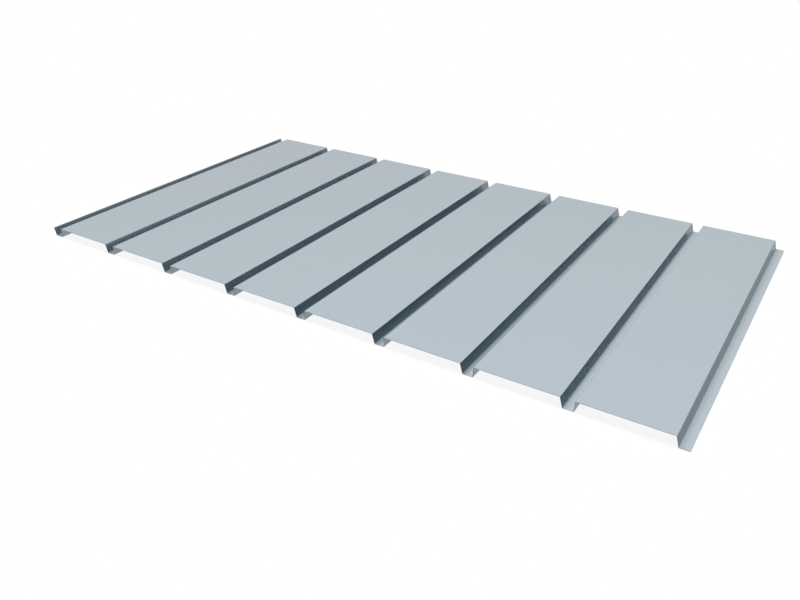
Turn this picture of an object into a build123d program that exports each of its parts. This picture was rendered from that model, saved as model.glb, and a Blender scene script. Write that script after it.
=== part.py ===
from build123d import *
import os
from math import hypot

# Profiled roofing and cladding sheet: one strip of thin coated steel, rolled into eight wide,
# flat crests with narrow grooves between them, lying face up with the grooves on the floor.
# +X runs across the sheet, +Y along the grooves and +Z up. The origin is on the floor, under
# the middle of the sheet. Sizes are in millimetres.

# The strip
thickness = 0.6
sheet_length = 587.0

# The profile, measured on the upper face between the sharp corners of its flats
crest_count = 8
pitch = 128.75
rib_depth = 14.0
groove_mouth = 17.8
sloping_side_run = 4.0
steep_side_run = 0.2
inner_bend_radius = 0.3

# The two long edges: a lip that goes under the sheet before it, and a wider last crest
# with a flange, which go over the lip and groove of the sheet after it
lip_drop = 1.2
lap_crest_extra = 2.5
flange_width = 12.5

# Levels of the upper face
floor_level = thickness
crest_level = floor_level + rib_depth

# On the upper face a crest's bends are the outside of the fold, and a groove's the inside
outer_bend_radius = inner_bend_radius + thickness

# Across the sheet, places count from the top of the first groove's sloping side, until the
# whole section is moved to bring the middle of its width over the origin
lip_x = sloping_side_run * lip_drop / rib_depth
lip_back = thickness * rib_depth / hypot(sloping_side_run, rib_depth)
lap_edge_x = crest_count * pitch + lap_crest_extra
flange_edge_x = lap_edge_x + sloping_side_run + flange_width
middle_x = (lip_x - lip_back + flange_edge_x) / 2


def groove_and_crest(index):
    """Upper face of one groove and of the crest after it, as its four corners."""
    groove_x = index * pitch
    crest_end_x = groove_x + pitch
    if index == crest_count - 1:
        crest_end_x = lap_edge_x
    return [
        (groove_x + sloping_side_run, floor_level),
        (groove_x + groove_mouth - steep_side_run, floor_level),
        (groove_x + groove_mouth, crest_level),
        (crest_end_x, crest_level),
    ]


# The upper face in section, from the lip to the flange, with the radius of each bend
corners = [(lip_x, crest_level - lip_drop)]
bends = []
for index in range(crest_count):
    corners += groove_and_crest(index)
    bends += [inner_bend_radius, inner_bend_radius, outer_bend_radius, outer_bend_radius]
corners += [(lap_edge_x + sloping_side_run, floor_level), (flange_edge_x, floor_level)]
bends += [inner_bend_radius]

# The sheet: the section's face line is given the strip's thickness below it and closed
# square at both edges, then drawn out to the sheet's length
with BuildPart() as profiled_sheet:
    with BuildSketch(Plane.XZ.move(Location((-middle_x, 0, 0)))) as section:
        with BuildLine() as face_line:
            FilletPolyline(*corners, radius=bends)
            offset(amount=thickness, side=Side.RIGHT)
        make_face()
    extrude(amount=sheet_length / 2, both=True)

profiled_sheet.part.label = "profiled_sheet"

os.makedirs("parts", exist_ok=True)
export_step(profiled_sheet.part, "parts/profiled_sheet.step")
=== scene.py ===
from math import cos, hypot, pi, radians, sin

import bpy
import numpy as np
from mathutils import Euler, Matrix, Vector


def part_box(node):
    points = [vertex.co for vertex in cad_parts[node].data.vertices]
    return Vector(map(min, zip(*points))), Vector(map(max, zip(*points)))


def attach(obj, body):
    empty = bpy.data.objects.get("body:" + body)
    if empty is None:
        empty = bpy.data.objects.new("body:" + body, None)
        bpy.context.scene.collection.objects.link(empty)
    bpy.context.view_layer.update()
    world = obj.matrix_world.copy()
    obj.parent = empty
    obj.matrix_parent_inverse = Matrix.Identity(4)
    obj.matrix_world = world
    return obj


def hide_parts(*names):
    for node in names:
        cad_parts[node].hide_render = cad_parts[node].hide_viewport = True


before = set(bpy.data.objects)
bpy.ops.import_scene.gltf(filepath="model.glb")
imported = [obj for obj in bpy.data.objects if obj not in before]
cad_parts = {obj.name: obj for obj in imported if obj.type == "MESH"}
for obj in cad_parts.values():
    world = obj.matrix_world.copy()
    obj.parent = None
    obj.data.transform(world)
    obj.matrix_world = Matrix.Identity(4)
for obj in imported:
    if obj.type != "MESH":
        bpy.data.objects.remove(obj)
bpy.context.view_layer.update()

# A profiled metal sheet: one strip of coated steel, rolled into wide flat crests with narrow
# grooves between them, lying face up on a pale floor. Lengths are in metres, in the packed
# model's own frame: +X across the sheet, +Y along the grooves and +Z up from the floor.

MM = 0.001

# The strip and its section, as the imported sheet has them: sizes of the upper face between
# the sharp corners of its flats
THICKNESS = 0.6 * MM
CREST_COUNT = 8
PITCH = 128.75 * MM
RIB_DEPTH = 14.0 * MM
GROOVE_MOUTH = 17.8 * MM
SLOPING_SIDE_RUN = 4.0 * MM
STEEP_SIDE_RUN = 0.2 * MM
INNER_BEND_RADIUS = 0.3 * MM
LIP_DROP = 1.2 * MM
LAP_CREST_EXTRA = 2.5 * MM
FLANGE_WIDTH = 12.5 * MM

# Fineness of the sheet's surface. A narrow column beside each bend keeps the bend's shading
# off the flat: it is HELD_WIDTH wide, or HELD_SHARE of a flat where that is less
COLUMNS_IN_FLAT = 9
COLUMNS_IN_BEND = 5
ROWS = 56
HELD_WIDTH = 0.4 * MM
HELD_SHARE = 1 / 6
CUT_CORNER = 0.06 * MM
SHARP_ANGLE = radians(25)

# How far a flat strays from its true plane, and in how many slow waves along it
STRAY = 0.07 * MM
STRAY_WAVES = 4
SEED = 11

# The sheet's materials, by number
FACE = 0
BACK = 1
EDGE = 2

# Colours, as linear light, and how metal-like and rough each finish is
FACE_COLOUR = (0.496, 0.578, 0.630)
BACK_COLOUR = (0.52, 0.60, 0.65)
STEEL_COLOUR = (0.44, 0.45, 0.47)
FLOOR_COLOUR = (0.80, 0.80, 0.80)
WHITE = (1.0, 1.0, 1.0)
PAINT_METALLIC = 0.7
STEEL_METALLIC = 0.6
FACE_ROUGHNESS = 0.2
BACK_ROUGHNESS = 0.3
STEEL_ROUGHNESS = 0.35

# The finishes' unevenness: noise scales are in cells a metre, and streaks are drawn out along Y
CLOUD_SCALE = 9.0
CLOUD_DETAIL = 3.0
STREAK_SCALE = (160.0, 1.5, 160.0)
STREAK_DETAIL = 2.0
CLOUD_SHARE = 0.6
PAINT_SPREAD = 0.02
ROUGHNESS_SPREAD = 0.1
PEEL_SCALE = 700.0
PEEL_DETAIL = 1.0
PEEL_DEPTH = 0.1 * MM
PEEL_STRENGTH = 0.06
BLADE_MARK_SCALE = 1500.0
BLADE_MARK_DETAIL = 2.0
BLADE_MARK_SPREAD = 0.3

# The camera stands where the photograph was taken from
CAMERA_PLACE = (0.6077, -0.9990, 0.5364)
CAMERA_AZIMUTH = radians(32.282)
CAMERA_ELEVATION = radians(28.856)
LENS_MM = 35.0
SENSOR_MM = 36.0
NEAREST_SEEN = 0.01

# The light: a broad soft lamp, high on the left and a little to the back, and a white room.
# Gloss sees the room's walls darker towards the floor, by WALL_FALL times a power of how low
# they are, and a share of the floor's white. What the lamp falls on doesn't pass its light on
ROOM_LIGHT = 0.02
WALL_FALL = 0.85
WALL_CURVE = 3.0
MIRRORED_FLOOR = 0.6
FLOOR_SHADOW = 0.1
FLOOR_REACH = 30.0
LAMP_LEAN_LEFT = radians(30.0)
LAMP_LEAN_BACK = radians(5.0)
LAMP_SPREAD = radians(28.0)
LAMP_BOUNCES = 0


class Shade:
    """A value that changes over a surface. Sums, products and powers of it add their nodes."""

    def __init__(self, finish, socket):
        self.finish = finish
        self.socket = socket

    def __add__(self, other):
        return self.finish.maths("ADD", self, other)

    def __sub__(self, other):
        return self.finish.maths("SUBTRACT", self, other)

    def __rsub__(self, other):
        return self.finish.maths("SUBTRACT", other, self)

    def __mul__(self, other):
        return self.finish.maths("MULTIPLY", self, other)

    def __pow__(self, other):
        return self.finish.maths("POWER", self, other)

    __radd__ = __add__
    __rmul__ = __mul__


class Finish:
    """The nodes of one material, or of the room's light."""

    def __init__(self, tree):
        self.tree = tree
        self.tree.nodes.clear()

    def add(self, kind, sockets=None, gives=0, **settings):
        """Adds a node of a kind, with its settings, and the value or link of each socket, by
        the socket's name or number. Returns the output of the given name or number."""
        node = self.tree.nodes.new(kind)
        for name, value in settings.items():
            setattr(node, name, value)
        inputs = self.by_name_and_number(node.inputs)
        for place, value in (sockets or {}).items():
            if isinstance(value, Shade):
                self.tree.links.new(value.socket, inputs[place])
            else:
                inputs[place].default_value = value
        outputs = self.by_name_and_number(node.outputs)
        return Shade(self, outputs[gives]) if outputs else None

    def by_name_and_number(self, sockets):
        """The sockets in use, each by its name and by its number among them."""
        in_use = [socket for socket in sockets if socket.enabled]
        return {socket.name: socket for socket in in_use} | dict(enumerate(in_use))

    def maths(self, operation, *values):
        """One step of shader maths on changing values and plain numbers."""
        return self.add("ShaderNodeMath", dict(enumerate(values)), operation=operation)

    def noise(self, place, scale, detail):
        return self.add("ShaderNodeTexNoise", {"Vector": place, "Scale": scale, "Detail": detail})

    def ray_is(self, kind):
        """1 for a ray of this kind, and 0 for any other."""
        return self.add("ShaderNodeLightPath", gives="Is " + kind + " Ray")

    def end(self, kind, result):
        """Joins the result to the output node."""
        self.add(kind, {0: result})


def new_finish(name):
    """A new material, and the nodes that it is made of, none yet."""
    material = bpy.data.materials.new(name)
    material.use_nodes = True
    return material, Finish(material.node_tree)


def coated(name, colour, roughness):
    """Baked satin paint, put on the flat strip and rolled with it. Its colour is a little
    clouded and drawn out in streaks along the sheet, and its skin has a fine peel."""
    material, finish = new_finish(name)
    place = finish.add("ShaderNodeTexCoord", gives="Object")
    drawn_out = finish.add("ShaderNodeVectorMath", {0: place, 1: STREAK_SCALE}, operation="MULTIPLY")
    cloud = finish.noise(place, CLOUD_SCALE, CLOUD_DETAIL)
    streak = finish.noise(drawn_out, 1.0, STREAK_DETAIL)
    peel = finish.noise(place, PEEL_SCALE, PEEL_DETAIL)
    shade = cloud * CLOUD_SHARE + streak * (1 - CLOUD_SHARE)
    tint = finish.add("ShaderNodeMix", {
        "Factor": shade,
        "A": (*(c * (1 - PAINT_SPREAD) for c in colour), 1),
        "B": (*(c * (1 + PAINT_SPREAD) for c in colour), 1),
    }, data_type="RGBA")
    skin = finish.add("ShaderNodeBump", {
        "Strength": PEEL_STRENGTH,
        "Distance": PEEL_DEPTH,
        "Height": peel,
    })
    surface = finish.add("ShaderNodeBsdfPrincipled", {
        "Base Color": tint,
        "Metallic": PAINT_METALLIC,
        "Roughness": (shade - 0.5) * ROUGHNESS_SPREAD + roughness,
        "Normal": skin,
    })
    finish.end("ShaderNodeOutputMaterial", surface)
    return material


def sheared(name):
    """The cut edge of zinc-coated steel, dull, with fine marks of the blade."""
    material, finish = new_finish(name)
    place = finish.add("ShaderNodeTexCoord", gives="Object")
    marks = finish.noise(place, BLADE_MARK_SCALE, BLADE_MARK_DETAIL)
    surface = finish.add("ShaderNodeBsdfPrincipled", {
        "Base Color": (*STEEL_COLOUR, 1),
        "Metallic": STEEL_METALLIC,
        "Roughness": marks * BLADE_MARK_SPREAD + STEEL_ROUGHNESS,
    })
    finish.end("ShaderNodeOutputMaterial", surface)
    return material


def section_corners():
    """The upper face's sharp corners, from the lip to the flange, and each bend's radius.

    Groove k starts k pitches along. Its corners are the foot of its sloping side, the foot and
    the top of its steep side, and the end of the crest after it. The whole is then moved to
    stand centred over x = 0, the back of the lip included."""
    outer_bend_radius = INNER_BEND_RADIUS + THICKNESS
    floor_level = THICKNESS
    crest_level = floor_level + RIB_DEPTH
    start = np.arange(CREST_COUNT) * PITCH
    crest_end = start + PITCH
    crest_end[-1] += LAP_CREST_EXTRA
    across = np.stack([
        start + SLOPING_SIDE_RUN,
        start + GROOVE_MOUTH - STEEP_SIDE_RUN,
        start + GROOVE_MOUTH,
        crest_end,
    ], axis=1)
    up = np.broadcast_to([floor_level, floor_level, crest_level, crest_level], across.shape)
    between = np.stack([across, up], axis=2).reshape(-1, 2)
    lip = [SLOPING_SIDE_RUN * LIP_DROP / RIB_DEPTH, crest_level - LIP_DROP]
    flange_start = [crest_end[-1] + SLOPING_SIDE_RUN, floor_level]
    flange_end = [flange_start[0] + FLANGE_WIDTH, floor_level]
    corners = np.vstack([lip, between, flange_start, flange_end])
    lip_back = THICKNESS * RIB_DEPTH / hypot(SLOPING_SIDE_RUN, RIB_DEPTH)
    corners[:, 0] -= (lip[0] - lip_back + flange_end[0]) / 2
    one_groove = [INNER_BEND_RADIUS, INNER_BEND_RADIUS, outer_bend_radius, outer_bend_radius]
    return corners, np.append(np.tile(one_groove, CREST_COUNT), INNER_BEND_RADIUS)


def face_line():
    """The upper face in section, as points with their unit normals.

    A corner that turns by a has an arc of its radius r, from r * tan(a / 2) before it to the
    same after it. A flat has even steps between two narrow ones beside its bends. Also gives
    how slack the strip is at each point, as sin(pi * share across its flat) squared times the
    flat's width in pitches and none in a bend, and the number of its flat."""
    corners, radii = section_corners()
    steps = np.diff(corners, axis=0)
    along = steps / np.hypot(*steps.T)[:, None]
    normal = np.stack([-along[:, 1], along[:, 0]], axis=1)
    turn = np.arcsin(along[:-1, 0] * along[1:, 1] - along[:-1, 1] * along[1:, 0])
    inset = radii * np.tan(np.abs(turn) / 2)
    start = corners[:-1] + along * np.append(0, inset)[:, None]
    end = corners[1:] - along * np.append(inset, 0)[:, None]

    length = np.hypot(*(end - start).T)[:, None]
    held = np.minimum(HELD_WIDTH / length, HELD_SHARE)
    between = held + (1 - 2 * held) * np.linspace(0, 1, COLUMNS_IN_FLAT)
    share = np.hstack([np.zeros_like(held), between, np.ones_like(held)])
    flat = start[:, None] + (end - start)[:, None] * share[..., None]
    flat_normal = np.broadcast_to(normal[:, None], flat.shape)

    side = (np.sign(turn) * radii)[:, None]
    centre = end[:-1] + normal[:-1] * side
    angle = turn[:, None, None] * np.linspace(0, 1, COLUMNS_IN_BEND + 2)[1:-1, None]
    bend_normal = np.cos(angle) * normal[:-1, None] - np.sin(angle) * along[:-1, None]
    bend = centre[:, None] - side[:, None] * bend_normal

    def joined(flats, bends):
        """Each flat's values, then those of the bend after it, in one row along the strip."""
        pairs = np.concatenate([flats[:-1], bends], axis=1).reshape(-1, *flats.shape[2:])
        return np.concatenate([pairs, flats[-1]])

    slack = length / PITCH * np.sin(pi * share) ** 2
    slacks = joined(slack, np.zeros(bend.shape[:2]))
    number = np.arange(len(flat))[:, None]
    numbers = joined(
        np.broadcast_to(number, flat.shape[:2]),
        np.broadcast_to(number[:-1], bend.shape[:2]),
    )
    return joined(flat, bend), joined(flat_normal, bend_normal), slacks, numbers


def off_plane(slacks, numbers, rows):
    """How far the skin lies off true, rows by columns: STRAY times the slack there times a sum
    of slow sines along the flat, the sine of n half turns with a random size over n and a
    random start. So it dies away at the bends."""
    picker = np.random.default_rng(SEED)
    wave = np.arange(1, STRAY_WAVES + 1)
    size = picker.normal(0, 1, (numbers.max() + 1, STRAY_WAVES)) / wave
    phase = picker.uniform(0, 2 * pi, size.shape)
    travel = (rows - rows[0]) / (rows[-1] - rows[0])
    waves = (size * np.sin(pi * wave * travel[:, None, None] + phase)).sum(axis=2)
    return STRAY * waves[:, numbers] * slacks


def rolled_sheet():
    """The sheet as one closed skin: the face line carried along Y, the same line again one
    thickness below it along its normals, and the sheared edges between them. At both ends the
    two faces are drawn in by CUT_CORNER over as much of the length, which dulls the corners."""
    points, normals, slacks, numbers = face_line()
    low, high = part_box("profiled_sheet")
    even = np.linspace(low.y + CUT_CORNER, high.y - CUT_CORNER, ROWS)
    rows = np.concatenate([[low.y], even, [high.y]])
    stray = off_plane(slacks, numbers, rows)

    at_end = np.isin(np.arange(len(rows)), [0, len(rows) - 1])
    cut = CUT_CORNER * at_end[:, None]

    def skin(depth):
        """The face line in every row, moved along its normals by the stray less the depth."""
        place = points + normals * (stray - depth)[..., None]
        y = np.broadcast_to(rows[:, None], stray.shape)
        return np.stack([place[..., 0], y, place[..., 1]], axis=2)

    face = skin(cut)
    back = skin(THICKNESS - cut)
    loop = np.concatenate([face, back[:, ::-1]], axis=1)
    vertex = np.arange(loop.shape[0] * loop.shape[1]).reshape(loop.shape[:2])
    beside = np.roll(vertex, -1, axis=1)
    wall = np.stack([vertex[:-1], beside[:-1], beside[1:], vertex[1:]], axis=2)

    width = len(points)
    on_face = vertex[:, :width]
    on_back = vertex[:, :width - 1:-1]
    near = np.stack([on_face[0, 1:], on_face[0, :-1], on_back[0, :-1], on_back[0, 1:]], axis=1)
    far = np.stack([on_face[-1, :-1], on_face[-1, 1:], on_back[-1, 1:], on_back[-1, :-1]], axis=1)

    quads = np.concatenate([wall.reshape(-1, 4), near, far])
    column = np.arange(loop.shape[1])
    where = [column < width - 1, column == width - 1, column < 2 * width - 1]
    material_of = np.select(where, [FACE, EDGE, BACK], EDGE)
    ends = np.full(len(near) + len(far), EDGE)
    materials = np.concatenate([np.tile(material_of, len(rows) - 1), ends])

    mesh = bpy.data.meshes.new("rolled_sheet")
    mesh.from_pydata(loop.reshape(-1, 3), [], quads)
    mesh.polygons.foreach_set("material_index", materials.astype(np.int32))
    mesh.polygons.foreach_set("use_smooth", np.ones(len(quads), bool))
    mesh.update()
    mesh.set_sharp_from_angle(angle=SHARP_ANGLE)
    return mesh


def placed(name, data):
    """A new object in the scene, at the origin."""
    thing = bpy.data.objects.new(name, data)
    bpy.context.scene.collection.objects.link(thing)
    return thing


def pale_floor():
    """A wide matt floor. To the camera it is mostly its own white glow, with a share of lit
    white in it that keeps the sheet's shadow."""
    material, finish = new_finish("floor_white")
    matt = finish.add("ShaderNodeBsdfDiffuse", {"Color": (*FLOOR_COLOUR, 1)})
    shadowed = finish.add("ShaderNodeBsdfDiffuse", {"Color": (*WHITE, 1)})
    glow = finish.add("ShaderNodeEmission", {"Strength": 1.0})
    white = finish.add("ShaderNodeMixShader", {0: FLOOR_SHADOW, 1: glow, 2: shadowed})
    seen = finish.ray_is("Camera") + finish.ray_is("Glossy") * MIRRORED_FLOOR
    surface = finish.add("ShaderNodeMixShader", {0: seen, 1: matt, 2: white})
    finish.end("ShaderNodeOutputMaterial", surface)
    mesh = bpy.data.meshes.new("floor")
    corners = np.array([(-1, -1, 0), (1, -1, 0), (1, 1, 0), (-1, 1, 0)]) * FLOOR_REACH
    mesh.from_pydata(corners, [], [(0, 1, 2, 3)])
    mesh.materials.append(material)
    return placed("floor", mesh)


def pale_room():
    """A white room: seen white, mirrored white with its walls darker towards the floor, and
    lighting the sheet weakly from all around."""
    room = bpy.data.worlds.new("room")
    room.use_nodes = True
    finish = Finish(room.node_tree)
    direction = finish.add("ShaderNodeTexCoord", gives="Generated")
    up = finish.maths("MAXIMUM", finish.add("ShaderNodeSeparateXYZ", {0: direction}, gives="Z"), 0)
    mirrored = 1 - (1 - up) ** WALL_CURVE * WALL_FALL
    seen = finish.ray_is("Camera") * (1 - ROOM_LIGHT)
    glossed = finish.ray_is("Glossy") * (mirrored - ROOM_LIGHT)
    strength = seen + glossed + ROOM_LIGHT
    walls = finish.add("ShaderNodeBackground", {"Color": (*WHITE, 1), "Strength": strength})
    finish.end("ShaderNodeOutputWorld", walls)
    bpy.context.scene.world = room


def key_lamp():
    """A broad soft lamp, high on the left, that leaves no glare of its own in the paint. With
    the room it lights a level face at strength 1."""
    key = bpy.data.lights.new("key", "SUN")
    key.angle = LAMP_SPREAD
    upright = cos(LAMP_LEAN_LEFT) * cos(LAMP_LEAN_BACK)
    lean = Vector((-sin(LAMP_LEAN_LEFT), sin(LAMP_LEAN_BACK), upright)).normalized()
    key.energy = (1 - ROOM_LIGHT) * pi / lean.z
    key.cycles.max_bounces = LAMP_BOUNCES
    lamp = placed("key", key)
    lamp.rotation_euler = lean.to_track_quat("Z", "Y").to_euler()
    lamp.visible_glossy = False


def photo_camera():
    """The camera at the photograph's place, angles and lens."""
    view = bpy.data.cameras.new("camera")
    view.lens = LENS_MM
    view.sensor_width = SENSOR_MM
    view.clip_start = NEAREST_SEEN
    camera = placed("camera", view)
    camera.location = CAMERA_PLACE
    camera.rotation_euler = Euler((pi / 2 - CAMERA_ELEVATION, 0, CAMERA_AZIMUTH))
    bpy.context.scene.camera = camera
    bpy.context.scene.view_settings.view_transform = "Standard"


# The sheet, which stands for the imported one
sheet = placed("rolled_sheet", rolled_sheet())
sheet.data.materials.append(coated("face_coat", FACE_COLOUR, FACE_ROUGHNESS))
sheet.data.materials.append(coated("back_coat", BACK_COLOUR, BACK_ROUGHNESS))
sheet.data.materials.append(sheared("cut_steel"))
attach(sheet, "root")
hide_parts("profiled_sheet")

# What it is seen on, in what light and from where
pale_floor()
pale_room()
key_lamp()
photo_camera()
